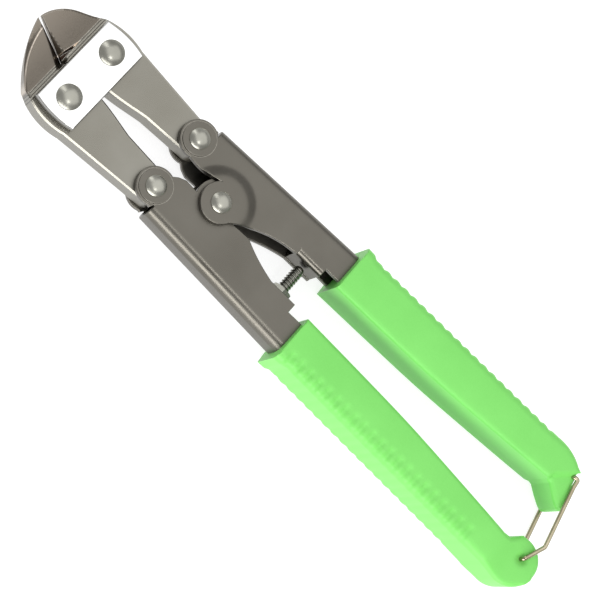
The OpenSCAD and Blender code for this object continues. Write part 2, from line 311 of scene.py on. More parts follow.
def revolve(name, rows, segments=48):
    """A closed solid about the Z axis. A row is (z, radius), and a radius may be a function of the
    angle. The ends close to a point where their radius is 0, and to each other where it isn't."""
    verts, faces, rings = [], [], []
    for z, radius in rows:
        if radius == 0:
            rings.append([len(verts)] * segments)
            verts.append((0, 0, z))
            continue
        rings.append(list(range(len(verts), len(verts) + segments)))
        for i in range(segments):
            a = 2 * math.pi * i / segments
            r = radius(a) if callable(radius) else radius
            verts.append((r * math.cos(a), r * math.sin(a), z))
    pairs = list(zip(rings, rings[1:]))
    if rows[0][1] != 0:
        pairs.append((rings[-1], rings[0]))
    for low, high in pairs:
        for i in range(segments):
            k = (i + 1) % segments
            face = [low[i], low[k], high[k], high[i]]
            face = [v for n, v in enumerate(face) if v != face[n - 1]]
            faces.append(face)
    return finish_mesh(name, verts, faces)


def evaluated_mesh(obj):
    """An object's mesh with its modifiers or bevels applied."""
    graph = bpy.context.evaluated_depsgraph_get()
    return bpy.data.meshes.new_from_object(obj.evaluated_get(graph))


def tube(name, path, radius, sides):
    """A wire along a path, with closed ends."""
    curve = bpy.data.curves.new(name, "CURVE")
    curve.dimensions = "3D"
    curve.bevel_depth = radius
    curve.bevel_resolution = sides // 2 - 2
    curve.use_fill_caps = True
    spline = curve.splines.new("POLY")
    spline.points.add(len(path) - 1)
    for point, place in zip(spline.points, path):
        point.co = (*place, 1)
    holder = bpy.data.objects.new(name, curve)
    bpy.context.scene.collection.objects.link(holder)
    mesh = evaluated_mesh(holder)
    bpy.data.objects.remove(holder)
    bpy.data.curves.remove(curve)
    mesh.name = name
    obj = bpy.data.objects.new(name, mesh)
    bpy.context.scene.collection.objects.link(obj)
    return obj


def rounded_path(points, radius, steps=6):
    """A path through points with each bend rounded."""
    points = [Vector(p) for p in points]
    path = [points[0]]
    for before, at, after in zip(points, points[1:], points[2:]):
        u, v = (before - at).normalized(), (after - at).normalized()
        half = u.angle(v) / 2
        longest = 0.49 * min((before - at).length, (after - at).length)
        reach = min(radius / math.tan(half), longest)
        for i in range(steps + 1):
            t = i / steps
            path.append(at + u * reach * (1 - t) ** 2 + v * reach * t ** 2)
    return path + [points[-1]]


def merge(obj, other):
    """Adds the other object's mesh to obj."""
    bm = bmesh.new()
    bm.from_mesh(obj.data)
    bm.from_mesh(other.data)
    bpy.data.objects.remove(other)
    bm.to_mesh(obj.data)
    bm.free()


def drill(obj, holes):
    """Cuts round holes, each (x, y, radius), right through the piece."""
    deep = 30
    for x, y, r in holes:
        cutter = revolve("cutter", [(-deep, 0), (-deep, r), (deep, r), (deep, 0)], 40)
        cutter.data.transform(Matrix.Translation((x, y, 0)))
        change = obj.modifiers.new("hole", "BOOLEAN")
        change.operation = "DIFFERENCE"
        change.object = cutter
        change.solver = "EXACT"
        mesh = evaluated_mesh(obj)
        mesh.name = obj.data.name
        obj.modifiers.clear()
        obj.data = mesh
        bpy.data.objects.remove(cutter)


def settle(obj, body, slot, *nodes, lower=False, sharp=40):
    """Brings a piece from the layout to the frame, and makes it stand for its CAD nodes. The lower
    handle's parts are the upper handle's turned over. Edges past the sharp angle stay crisp."""
    flip = Matrix.Diagonal((1, 1, -1, 1)) if lower else Matrix.Diagonal((1, -1, 1, 1))
    to_frame = Matrix.Translation(CENTRE) @ Matrix.Diagonal((MM, MM, MM, 1)) @ flip
    bm = bmesh.new()
    bm.from_mesh(obj.data)
    bmesh.ops.remove_doubles(bm, verts=bm.verts, dist=1e-4)
    bmesh.ops.transform(bm, matrix=to_frame, verts=bm.verts)
    bmesh.ops.reverse_faces(bm, faces=bm.faces)
    for face in bm.faces:
        face.smooth = True
    for e in bm.edges:
        if len(e.link_faces) == 2 and e.calc_face_angle(0) > math.radians(sharp):
            e.smooth = False
    bm.to_mesh(obj.data)
    bm.free()
    weighted = obj.modifiers.new("weighted_normals", "WEIGHTED_NORMAL")
    weighted.keep_sharp = True
    weighted.weight = 80
    obj.data.materials.clear()
    obj.data.materials.append(MATERIALS[slot])
    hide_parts(*nodes)
    if body:
        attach(obj, body)


# ---- materials ----


class Nodes:
    """Short calls for building a material's node tree."""

    def __init__(self, name):
        self.material = bpy.data.materials.new(name)
        self.material.use_nodes = True
        self.tree = self.material.node_tree
        self.shader = self.tree.nodes["Principled BSDF"]
        self.place = self.tree.nodes.new("ShaderNodeTexCoord").outputs["Object"]

    def link(self, value, socket):
        """Links an output to the socket, or sets the socket to a plain value."""
        if isinstance(value, bpy.types.NodeSocket):
            self.tree.links.new(value, socket)
        else:
            socket.default_value = value

    def node(self, kind, *values, operation=None, **inputs):
        """A new node. Its inputs are given in their order, or by name with _ for a space."""
        node = self.tree.nodes.new("ShaderNode" + kind)
        if operation:
            node.operation = operation
        for socket, value in zip(node.inputs, values):
            self.link(value, socket)
        for name, value in inputs.items():
            self.link(value, node.inputs[name.replace("_", " ")])
        return node

    def stretched(self, scale, turn=(0, 0, 0)):
        """The object's coordinates, scaled along each axis after a turn."""
        mapping = self.node("Mapping", Scale=scale, Rotation=turn, Vector=self.place)
        return mapping.outputs["Vector"]

    def beyond(self, line):
        """How far a point lies to the right of a line in the layout, in millimetres."""
        along = (line[1] - line[0]).normalized()
        across = (along.y / MM, along.x / MM, 0)
        dot = self.node("VectorMath", self.place, across, operation="DOT_PRODUCT")
        start = (CENTRE.x / MM + line[0].x) * along.y + (CENTRE.y / MM - line[0].y) * along.x
        return self.math("SUBTRACT", dot.outputs["Value"], start)

    def off_circle(self, centre, r):
        """How far a point lies outside a circle in the layout, in millimetres."""
        flat = self.node("VectorMath", self.place, (1 / MM, 1 / MM, 0), operation="MULTIPLY")
        middle = (CENTRE.x / MM + centre.x, CENTRE.y / MM - centre.y, 0)
        away = self.node("VectorMath", flat.outputs["Vector"], middle, operation="DISTANCE")
        return self.math("SUBTRACT", away.outputs["Value"], r)

    def normal(self):
        return self.node("NewGeometry").outputs["Normal"]

    def tilt(self):
        """0 on surfaces that face straight up or down, 1 on tilted ones."""
        return self.span(self.math("ABSOLUTE", self.axis("Z", self.normal()), 0), 0.985, 0.95)

    def axis(self, name, vector=None):
        """One coordinate of a vector, or of the object's place."""
        return self.node("SeparateXYZ", vector or self.place).outputs[name]

    def noise(self, scale, detail=4, roughness=0.55, vector=None):
        """Soft noise from 0 to 1. Scales are per metre."""
        node = self.node("TexNoise", Vector=vector or self.place, Scale=scale, Detail=detail,
                         Roughness=roughness)
        return node.outputs["Fac"]

    def spots(self, scale):
        """The distance to the nearest of many scattered points."""
        return self.node("TexVoronoi", Vector=self.place, Scale=scale).outputs["Distance"]

    def span(self, value, low, high, to_low=0.0, to_high=1.0):
        """The value, stretched from the range low to high onto another range and held there."""
        node = self.node("MapRange", Value=value, From_Min=low, From_Max=high, To_Min=to_low,
                         To_Max=to_high)
        return node.outputs["Result"]

    def math(self, operation, a, b):
        return self.node("Math", a, b, operation=operation).outputs[0]

    def times(self, a, b):
        return self.math("MULTIPLY", a, b)

    def mix(self, share, a, b):
        """Colour a where share is 0 and colour b where it is 1."""
        node = self.tree.nodes.new("ShaderNodeMix")
        node.data_type = "RGBA"
        self.link(share, node.inputs["Factor"])
        self.link(a, node.inputs["A"])
        self.link(b, node.inputs["B"])
        return node.outputs["Result"]

    def edge(self, radius):
        """1 on edges sharper than the given radius, 0 on open surfaces."""
        bevel = self.node("Bevel", Radius=radius)
        bevel.samples = 6
        facing = self.node("VectorMath", bevel.outputs["Normal"], self.normal(),
                           operation="DOT_PRODUCT")
        return self.span(facing.outputs["Value"], 0.985, 0.80)

    def bump(self, height, strength, distance, below=None):
        """A normal for a relief. Another relief may lie below it."""
        node = self.node("Bump", Height=height, Strength=strength, Distance=distance)
        if below is not None:
            self.link(below, node.inputs["Normal"])
        return node.outputs["Normal"]

    def finish(self, **sockets):
        """Sets the shader's sockets, named with _ for a space."""
        for name, value in sockets.items():
            self.link(value, self.shader.inputs[name.replace("_", " ")])
        return self.material


def rgb(red, green, blue):
    """A colour given as it looks on screen, from 0 to 255."""

    def linear(c):
        c /= 255
        return c / 12.92 if c <= 0.04045 else ((c + 0.055) / 1.055) ** 2.4

    return (linear(red), linear(green), linear(blue), 1)


def ground_nose(n, colour):
    """The nose of a jaw is ground: darker and browner than the arm, with lines of painted shade
    along the steps where it starts. The upper jaw's sunk triangle is painted dark as shade, with a
    painted highlight on the chamfer in front of it, and the lower jaw's ridge carries a painted
    highlight."""
    dark, light, arm_share = rgb(74, 61, 52), rgb(122, 110, 99), 0.45
    # Painted light: chamfer is a highlight colour, sunk a shade colour.
    chamfer, sunk = rgb(255, 240, 224), rgb(46, 34, 28)
    wear_and_highlight, ridge_highlight_share, ridge_width = rgb(226, 214, 200), 0.75, (0.24, 0.1)
    step_shade, step_shade_share, line_width = rgb(40, 36, 33), 0.8, (0.2, 0.08)
    soft = 0.02
    along = n.axis("X")

    def at(x):
        return CENTRE.x + x * MM

    ground = n.mix(n.span(along, at(NOSE_START_X), at(68)), dark, light)
    ground = n.mix(arm_share, ground, colour)
    colour = n.mix(n.span(along, at(NOSE_START_X - 0.1), at(NOSE_START_X + 0.1)), colour, ground)

    upper = n.span(n.beyond((EDGE_ROOT, EDGE_TIP)), 0, -0.01)
    front, back = n.beyond(RELIEF_FRONT), n.beyond(RELIEF_BACK)
    inside = n.times(upper, n.span(back, -soft, soft))
    before_end = n.span(front, RELIEF_CHAMFER + 0.1, RELIEF_CHAMFER)
    chamfer_highlight_mask = n.times(n.span(front, -soft, soft), before_end)
    # Painted highlight: a bright strip on the chamfer in front of the sunk triangle.
    colour = n.mix(n.times(inside, chamfer_highlight_mask), colour, chamfer)
    # Painted shade: the sunk triangle is darkened.
    colour = n.mix(n.times(inside, n.span(front, 0.0, -0.05)), colour, sunk)

    # Painted highlight: a bright line along the lower jaw's ridge.
    off_ridge = n.math("ABSOLUTE", n.off_circle(OUTER_RIDGE_CENTRE, OUTER_RIDGE_R), 0)
    on_lower = n.times(n.span(upper, 1, 0), n.span(along, at(NOSE_START_X), at(58.5)))
    ridge_highlight = n.times(n.span(off_ridge, *ridge_width), on_lower)
    colour = n.mix(n.times(ridge_highlight, ridge_highlight_share), colour, wear_and_highlight)

    # Painted shade: dark lines across the jaw where its steps and the nose start.
    for x in (55.3, 56.1, 56.85):
        behind, ahead = [n.span(along, at(x + side * line_width[0]), at(x + side * line_width[1]))
                         for side in (-1, 1)]
        colour = n.mix(n.times(n.times(behind, ahead), step_shade_share), colour, step_shade)
    return colour


def worked_steel(name, light, dark, wear_and_highlight, rough, grain, change=None):
    """Satin steel with a fine directional grain, cloudy tone, small pits and brighter edges, partly
    wear and partly a painted highlight. change(n, colour) may work on the colour before the edges
    are brightened."""
    n = Nodes(name)
    clouds = n.noise(60, 3, 0.5)
    fine = n.noise(900, 3)
    streaks = n.noise(2600, 3, 0.6, n.stretched(grain))
    tone = n.math("ADD", n.times(clouds, 0.7), n.times(streaks, 0.3))
    colour = n.mix(n.span(tone, 0.25, 0.75), dark, light)
    if change:
        colour = change(n, colour)
    # The edges are brightened: partly wear, partly a painted highlight.
    edge_wear_and_highlight = n.times(n.edge(0.00035), n.span(fine, 0.35, 0.65, 0.65, 1.0))
    colour = n.mix(edge_wear_and_highlight, colour, wear_and_highlight)
    roughness = n.math("ADD", n.span(clouds, 0.3, 0.7, rough - 0.06, rough + 0.07),
                       n.span(streaks, 0.3, 0.7, -0.04, 0.04))
    pitting = n.span(n.spots(1500), 0.0, 0.22)
    relief = n.bump(streaks, 0.10, 0.00003)
    relief = n.bump(pitting, 0.25, 0.00002, relief)
    return n.finish(Base_Color=colour, Metallic=1.0, Roughness=roughness, Normal=relief)


def plated_nickel(name, light, dark, rough, edges=None):
    """Plating over a lightly tumbled surface. Its edges are light, or of a darker colour if one is
    given, which then also covers the surfaces that don't face straight up or down as painted shade."""
    n = Nodes(name)
    clouds = n.noise(90, 4)
    fine = n.noise(1400, 4, 0.6)
    colour = n.mix(n.span(clouds, 0.35, 0.7), dark, light)
    colour = n.mix(n.times(n.edge(0.0003), 0.8 if edges else 0.5), colour, edges or light)
    # A darker edge colour is painted shade, on the edges and on every tilted face.
    if edges:
        colour = n.mix(n.times(n.tilt(), 0.75), colour, edges)
    scratches = n.noise(1100, 2, 0.5, n.stretched((1, 9, 1), (0, 0, 0.6)))
    roughness = n.math("ADD", n.span(clouds, 0.3, 0.7, rough - 0.03, rough + 0.05),
                       n.span(scratches, 0.55, 0.75, 0.0, 0.08))
    relief = n.bump(fine, 0.10, 0.00003)
    relief = n.bump(n.span(scratches, 0.62, 0.70), 0.06, 0.00002, relief)
    return n.finish(Base_Color=colour, Metallic=1.0, Roughness=roughness, Normal=relief)


def moulded_vinyl(name, light, dark, rough):
    """Soft vinyl: a fine moulded grain, faint mottling and slightly shinier worn ridges."""
    n = Nodes(name)
    clouds = n.noise(45, 4)
    grain = n.noise(2600, 2, 0.5)
    specks = n.spots(1300)
    tone = n.math("ADD", n.times(clouds, 0.75), n.times(grain, 0.25))
    colour = n.mix(n.span(tone, 0.35, 0.68), dark, light)
    roughness = n.math("SUBTRACT", n.span(clouds, 0.3, 0.7, rough - 0.05, rough + 0.06),
                       n.times(n.edge(0.0008), 0.08))
    relief = n.bump(grain, 0.12, 0.00004)
    relief = n.bump(specks, 0.05, 0.00003, relief)
    return n.finish(Base_Color=colour, Roughness=roughness, Specular_IOR_Level=0.32, Normal=relief)


# The third colour of each worked steel brightens its edges, partly as wear and partly as a painted
# highlight.
MATERIALS = {
    "jaw_steel": worked_steel("jaw_steel", rgb(141, 139, 131), rgb(121, 118, 109),
                              rgb(214, 210, 200), 0.31, (1, 7, 1), ground_nose),
    # The link plate's third colour is painted shade on its rounded edges and tilted faces.
    "link_plate_nickel": plated_nickel("link_plate_nickel", rgb(252, 252, 251),
                                       rgb(238, 238, 236), 0.24, rgb(84, 82, 76)),
    "rivet_steel": plated_nickel("rivet_steel", rgb(168, 167, 158), rgb(150, 149, 140), 0.30),
    "handle_steel": worked_steel("handle_steel", rgb(110, 107, 100), rgb(94, 91, 84),
                                 rgb(178, 174, 164), 0.34, (6, 1, 1)),
    "spring_steel": worked_steel("spring_steel", rgb(132, 129, 122), rgb(98, 95, 90),
                                 rgb(180, 178, 170), 0.34, (1, 1, 6)),
    "screw_steel": plated_nickel("screw_steel", rgb(150, 150, 142), rgb(118, 118, 110), 0.26),
    "grip_green": moulded_vinyl("grip_green", rgb(122, 208, 101), rgb(113, 199, 92), 0.42),
    "latch_nickel": plated_nickel("latch_nickel", rgb(186, 178, 152), rgb(140, 130, 104), 0.2),
}

# ---- jaws ----


def relief_level(x, y, half):
    """The upper jaw's half thickness round its sunk triangle and the chamfer in front of it."""
    chamfer_drop = 0.5
    front, back = beyond(RELIEF_FRONT, Vector((x, y))), beyond(RELIEF_BACK, Vector((x, y)))
    if back < -NEAR or front > RELIEF_CHAMFER:
        return half
    if front > -NEAR:
        return half - chamfer_drop * (1 - front / RELIEF_CHAMFER) * smooth(0, 0.1, back)
    sunk = smooth(0, -RELIEF_WALL, front) * smooth(0, RELIEF_WALL, back)
    return half + (min(half, RELIEF_HALF) - half) * sunk


def jaw_half(x, y, side):
    """Half thickness of a jaw: flat, two fine steps and a hollow-ground nose, then the cutting
    bevel with the upper jaw's sunk triangle or the lower jaw's ridge."""
    nose_drop, ridge_slope, ridge_least = 0.25, 0.6, 0.5
    half = JAW_Z
    for step_x in CHEEK_STEPS:
        half -= CHEEK_DROP * smooth(step_x, step_x + 0.12, x)
    if x > NOSE_START_X:
        wheel = THINNEST + GRIND_R - math.sqrt(GRIND_R ** 2 - (x - GRIND_X) ** 2)
        half = min(half - nose_drop, wheel)
    if x < BEVEL_START_X - 0.01:
        return half
    away = abs(ALONG_EDGE.x * (y - EDGE_ROOT.y) - ALONG_EDGE.y * (x - EDGE_ROOT.x))
    bevel = EDGE_LAND + away * (UPPER_BEVEL if side > 0 else LOWER_BEVEL)
    half += (min(half, bevel) - half) * smooth(BEVEL_START_X, BEVEL_START_X + 0.5, x)
    if side > 0:
        return relief_level(x, y, half)
    outside = (Vector((x, y)) - OUTER_RIDGE_CENTRE).length - OUTER_RIDGE_R
    drop = min(max(0, outside) * ridge_slope, max(0, half - ridge_least))
    return half - drop * smooth(NOSE_START_X + 0.2, NOSE_START_X + 1.2, x)


def jaw_back(side):
    """The outline behind the nose, drawn once and mirrored: shoulder, arm, tail and inner edge."""
    tail_r = 4.8
    line = bow((56.2, 15.4), (43, 16.2), -1.1) + [(38.5, 15.8)]
    line += arc(TAIL, tail_r, 92, 275) + flowing([(30, 3.5), (41.5, 1.5), (53.4, 1.1)])
    return [Vector((p[0], side * p[1])) for p in line]


def make_jaw(node, side, nose):
    """A jaw with its two rivet holes. side is 1 for the upper jaw and -1 for the lower one, and
    nose is the outline's part from the cutting edge's tip round the outside."""
    chamfer, edge_chamfer, fine, coarse = 0.42, 0.12, 0.12, 0.4
    gap = Vector((0, 0.1 * side))
    crotch = EDGE_ROOT + ALONG_EDGE * (BEVEL_START_X - EDGE_ROOT.x) / ALONG_EDGE.x
    outline = [EDGE_ROOT + gap] + nose + jaw_back(side) + [crotch + gap]
    if side < 0:
        outline.reverse()

    def edge(p, q):
        """Small along the cutting edge."""
        cutting = min(p.x, q.x) > 55 and abs(((p + q) / 2).y) < 4.5
        return edge_chamfer if cutting else chamfer

    xs = steps_between(57.1, 69.2, coarse) + steps_between(BEVEL_START_X, NOSE_START_X, fine)
    ys = steps_between(-14.5, 14, coarse)
    slants = []
    if side > 0:
        walls = ((RELIEF_FRONT, (0, -RELIEF_WALL, RELIEF_CHAMFER)), (RELIEF_BACK, (0, RELIEF_WALL)))
        for line, shifts in walls:
            along = (line[1] - line[0]).normalized()
            across = Vector((along.y, -along.x))
            slants += [(line[0] + across * shift, line[1] + across * shift) for shift in shifts]
    obj = slab(node + "_piece", outline, edge, lambda x, y: jaw_half(x, y, side), 1, sorted(xs), ys,
               slant_cuts=slants)
    link_hole_r = LINK_HOLE_R if side > 0 else SHANK_HOLE_R
    drill(obj, [(TAIL.x, side * TAIL.y, SHANK_HOLE_R), (LINK.x, side * LINK.y, link_hole_r)])
    settle(obj, node + "_body", "jaw_steel", node)


def make_jaws():
    """The upper jaw's nose has a corner behind its bow, and the lower jaw's is one bow."""
    half_tip = 0.45
    nose = bow(EDGE_TIP + Vector((0, half_tip)), (62.4, 12.4), -1.3) + [Vector((58.8, 13.9))]
    make_jaw("upper_jaw", 1, nose)
    make_jaw("lower_jaw", -1, bow(EDGE_TIP + Vector((0.2, -half_tip)), (58.3, -14.6), 1.5))


# ---- link plates ----


def make_link_plate(node, lower):
    """Straight along both long sides and bowed a little at both ends."""
    low, high = corners("front_link_plate")
    half_x, half_y = (high.x - low.x) / 2, (high.y - low.y) / 2
    end_rise, round_r, back_r = 0.85, 0.85, 0.3
    side_y = half_y - end_rise
    outline = bow((LINK.x - half_x, side_y), (LINK.x + half_x, side_y), end_rise)
    outline += [Vector((p.x, -p.y)) for p in reversed(outline)]
    outline.reverse()
    half = (PLATE_TOP_Z - PLATE_Z) / 2

    def edge(p, q):
        """Well rounded, but for the long side that faces the grips."""
        return back_r if max(p.x, q.x) < LINK.x - half_x + 0.1 else round_r

    obj = slab(node + "_piece", outline, edge, lambda x, y: half, 2)
    drill(obj, [(LINK.x, side * LINK.y, SHANK_R) for side in (-1, 1)])
    obj.data.transform(Matrix.Translation((0, 0, PLATE_Z + half)))
    settle(obj, "link", "link_plate_nickel", node, lower=lower)


# ---- rivets, bush, spring and screw ----


def make_rivet(node, body, at, seat, width, height, lower=False):
    """A shank with a head at each end: a short upright rim pressed down by the die, then a dome."""
    dome_r = (width * width / 4 + height * height) / (2 * height)
    rim, rim_share, steps = 0.22, 0.6, 12
    half = [(seat, width / 2 - 0.12), (seat + 0.05, width / 2 - 0.03), (seat + rim, width / 2)]
    start = math.asin((width / 2 - 0.04) / dome_r)
    for i in range(steps):
        share = 1 - i / steps
        a = start * share
        level = seat + height - dome_r + dome_r * math.cos(a) + rim * share * rim_share
        half.append((level, dome_r * math.sin(a)))
    half.append((seat + height, 0))
    top = [(seat, SHANK_R)] + half
    rows = [(-z, r) for z, r in reversed(top)] + top
    obj = revolve(node + "_piece", rows, 56)
    obj.data.transform(Matrix.Translation((at.x, at.y, 0)))
    settle(obj, body, "rivet_steel", node, lower=lower, sharp=50)


def make_bush():
    """A plain tube with both outer edges chamfered."""
    low, high = corners("spring_bush")
    inner, outer, chamfer = 2.02, 3.0, 0.25
    rows = [(low.z, inner), (low.z, outer - chamfer), (low.z + chamfer, outer),
            (high.z - chamfer, outer), (high.z, outer - chamfer), (high.z, inner)]
    settle(revolve("spring_bush_piece", rows), "lower_handle", "spring_steel", "spring_bush")


def make_spring():
    """One wound wire: a leg, close coils round the bush, and a leg on the other side."""
    wire_r, coil_r, leg_angle, leg_length = 0.5, 4.2, 30, 13.6
    leg_steps, coil_steps = 10, 220
    reach = corners("return_spring")[1].z - wire_r
    turns = 6 + 2 * leg_angle / 360
    start = math.radians(leg_angle)
    first = Vector((coil_r * math.cos(start), coil_r * math.sin(start), reach))
    leg = Vector((-math.sin(start), math.cos(start), 0))
    path = [first + leg * leg_length * (1 - k / leg_steps) for k in range(leg_steps)]
    for i in range(coil_steps + 1):
        a = start - 2 * math.pi * turns * i / coil_steps
        level = reach - 2 * reach * i / coil_steps
        path.append(Vector((coil_r * math.cos(a), coil_r * math.sin(a), level)))
    last = path[-1]
    end = math.atan2(last.y, last.x)
    leg = Vector((math.sin(end), -math.cos(end), 0))
    path += [last + leg * leg_length * k / leg_steps for k in range(1, leg_steps + 1)]
    obj = tube("return_spring_piece", path, wire_r, 12)
    settle(obj, None, "spring_steel", "return_spring")
    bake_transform(obj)


def along_y(obj, x, y):
    """Turns a piece made about the Z axis so that it lies along +Y, and moves it there."""
    obj.data.transform(Matrix.Translation((x, y, 0)) @ Matrix.Rotation(math.radians(-90), 4, "X"))
    return obj


def screw_place():
    """The stop screw's x, its lower end's y, its length and its radius, from the CAD node."""
    low, high = corners("stop_screw")
    return (low.x + high.x) / 2, -high.y, high.y - low.y, (high.x - low.x) / 2


def hexagon(flats, a):
    """The radius at an angle of a hexagon, given from its middle to its flats."""
    return flats / math.cos((a + math.pi / 6) % (math.pi / 3) - math.pi / 6)


def make_stop_screw():
    """A threaded screw with a domed end against the upper handle and a hex socket in the other."""
    x, start, length, outer = screw_place()
    pitch, depth, per_turn, segments = 0.95, 0.36, 10, 32
    socket, socket_depth, chamfer, dome, lead_in = 0.98, 1.8, 0.12, 0.9, 0.3

    rows = [(socket_depth, 0), (socket_depth, lambda a: hexagon(socket, a)),
            (0.15, lambda a: hexagon(socket, a)), (0, lambda a: hexagon(socket, a) + chamfer),
            (0, outer - 0.45)]
    threaded = length - dome - lead_in
    count = round(threaded / pitch * per_turn)
    for i in range(count + 1):
        z = lead_in + threaded * i / count
        ends = smooth(0.2, 1.0, z) * smooth(length - dome, length - dome - 0.9, z)

        def thread(a, z=z, ends=ends):
            turn = (z / pitch - a / (2 * math.pi)) % 1
            height = smooth(0.05, 0.42, turn) * smooth(0.95, 0.58, turn)
            return outer - depth * (1 - height * ends) - 0.02

        rows.append((z, thread))
    for a in (math.radians(15 * i) for i in range(1, 6)):
        rows.append((length - dome + dome * math.sin(a), (outer - depth) * math.cos(a)))
    rows.append((length, 0))
    obj = along_y(revolve("stop_screw_piece", rows, segments), x, start)
    settle(obj, "stop", "screw_steel", "stop_screw")


def make_lock_nut():
    """A hexagon nut, chamfered on both faces."""
    x = screw_place()[0]
    low, high = corners("lock_nut")
    height, flats = high.y - low.y, (high.z - low.z) / 2
    bore, mouth, mouth_depth = 1.86, 2.1, 0.25

    def side(z):
        return lambda a: min(hexagon(flats, a), flats + 0.12 + 1.9 * min(z, height - z))

    chamfered = (0, 0.1, 0.2, 0.3, 0.4)
    levels = [*chamfered, *(height - z for z in reversed(chamfered))]
    rows = [(mouth_depth, bore), (0, mouth)] + [(z, side(z)) for z in levels]
    rows += [(height, mouth), (height - mouth_depth, bore)]
    obj = along_y(revolve("lock_nut_piece", rows, 72), x, -high.y)
    settle(obj, "lower_handle", "screw_steel", "lock_nut", sharp=25)


# ---- handle channels ----

# The folded back: its front end, where it enters the grip, and its end inside the grip
WEB_FRONT = Vector((12.2, 16.2))
MOUTH = Vector((-38.9, 18.2))
TANG_END = Vector((-114.5, 18.7))
BEND_R, TAB_BEND_R, BEND_STEPS = 2.3, 1.15, 7  # bends of the sheet's middle surface
MID_Z = CHANNEL_Z - SHEET / 2
TAB_X = (-33.8, -24.8)
TAB_Y = 5.6
TAB_BEND_Y = TAB_Y + SHEET / 2 + TAB_BEND_R
TAB_END_Z = -(CHANNEL_Z - SHEET - 0.1)
FRONT_EAR_R, REAR_EAR_R, TAIL_EAR_R = 5.7, 6.8, 5.3
EDGE_R = 0.28
BOSS_R = 4.9


def web_y(x):
    """The outer face of the channel's folded back."""
    if x > MOUTH.x:
        return MOUTH.y + (WEB_FRONT.y - MOUTH.y) * (x - MOUTH.x) / (WEB_FRONT.x - MOUTH.x)
    return TANG_END.y + (MOUTH.y - TANG_END.y) * (x - TANG_END.x) / (MOUTH.x - TANG_END.x)


def bend_y(x):
    """Where the flat of a face ends and the bend into the back starts."""
    return web_y(x) - SHEET / 2 - BEND_R


def channel_face(joggled):
    """One face's outline, up to the bend. Only the joggled face carries the stop tab."""
    if joggled:
        ear = bow((TAB_X[1], TAB_Y), (-5.2, -2.4), 1.7) + arc((0, 0), FRONT_EAR_R, 204.8, 412.1, 36)
        ear += flowing([(3.5, 4.5), (6.6, 3.9), (10.5, 3.6), (14, 3.9)], 0.8)[1:]
    else:
        ear = bow((TAB_X[1], TAB_Y), (-12.5, 1.5), 0.4) + arc((0, 0), REAR_EAR_R, 165.6, 379.8, 40)
        ear += [(10.6, 2.1), (12.6, 2.9), (14, 4)]
    tab_edge = TAB_BEND_Y if joggled else TAB_Y
    tab = [(TAB_X[0], 8.4), (TAB_X[0], tab_edge), (TAB_X[1], tab_edge)]
    back = [(13.4, 14.2), (WEB_FRONT.x + 0.5, bend_y(WEB_FRONT.x))]
    back += [(x, bend_y(x)) for x in (WEB_FRONT.x, MOUTH.x, TANG_END.x)]
    inner = [(TANG_END.x, 12), (-80, 9.2), (MOUTH.x, 8.4)]
    outline = tab + ear + arc(TAIL, TAIL_EAR_R, -108, 112, 30) + back + inner
    return tidy_outline(outline, 0.02)


def joggle_height(x, y):
    """The front face is pressed outwards round the centre pivot, with a soft ramp."""
    ramp_start, ramp_end = 6.1, 11.2
    return (JOGGLE_TOP_Z - CHANNEL_Z) * (1 - smooth(ramp_start, ramp_end, math.hypot(x, y)))


def border_edges(bm, inside):
    """The edges along a mesh's border with both ends in the given region."""
    return [e for e in bm.edges if e.is_boundary and all(inside(v.co) for v in e.verts)]


def curl(bm, edges, steps, place):
    """Adds strips of faces to border edges. place(start, step) is the place of each step's vertex
    for a border vertex at start."""
    sides = [(e.link_loops[0].vert, e.link_loops[0].link_loop_next.vert) for e in edges]
    columns = {v: [v] for side in sides for v in side}
    for v, column in columns.items():
        column += [bm.verts.new(place(v.co, step)) for step in range(1, steps + 1)]
    for step in range(steps):
        for v, w in sides:
            bm.faces.new([columns[w][step], columns[v][step],
                          columns[v][step + 1], columns[w][step + 1]])


def bend_points(radius, sign, far_end, away):
    """A rule for curl(): a quarter bend away from the face, then straight on to far_end."""

    def place(p, step):
        if step > BEND_STEPS:
            return Vector((p.x, p.y + away * radius, far_end))
        a = math.radians(90 * step / BEND_STEPS)
        level = p.z - sign * radius * (1 - math.cos(a))
        return Vector((p.x, p.y + away * radius * math.sin(a), level))

    return place


def channel_middle():
    """The middle surface of the stamping: two faces, the folded back and the stop tab."""
    reach, step = 11.5, 0.5  # a fine grid that covers the joggle
    bm = bmesh.new()
    for joggled, sign in ((True, 1), (False, -1)):
        part = flat_mesh(channel_face(joggled), sign * MID_Z)
        cut_lines(part, "x", steps_between(-reach, reach, step))
        if joggled:
            cut_lines(part, "y", steps_between(-5.5, reach, step))
        part.normal_update()
        back = border_edges(part, lambda p: abs(p.y - bend_y(p.x)) < NEAR
                            and p.x < WEB_FRONT.x + NEAR)
        curl(part, back, BEND_STEPS + 1, bend_points(BEND_R, sign, 0, 1))
        if joggled:
            tab = border_edges(part, lambda p: abs(p.y - TAB_BEND_Y) < NEAR
                               and TAB_X[0] - NEAR < p.x < TAB_X[1] + NEAR)
            curl(part, tab, BEND_STEPS + 1, bend_points(TAB_BEND_R, sign, TAB_END_Z, -1))
            for v in part.verts:
                if abs(v.co.z - MID_Z) < 1e-6:
                    v.co.z += joggle_height(v.co.x, v.co.y)
        else:
            bmesh.ops.reverse_faces(part, faces=part.faces)
        mesh = bpy.data.meshes.new("part")
        part.to_mesh(mesh)
        part.free()
        bm.from_mesh(mesh)
        bpy.data.meshes.remove(mesh)
    bmesh.ops.remove_doubles(bm, verts=bm.verts, dist=1e-3)
    bmesh.ops.recalc_face_normals(bm, faces=bm.faces)
    return bm


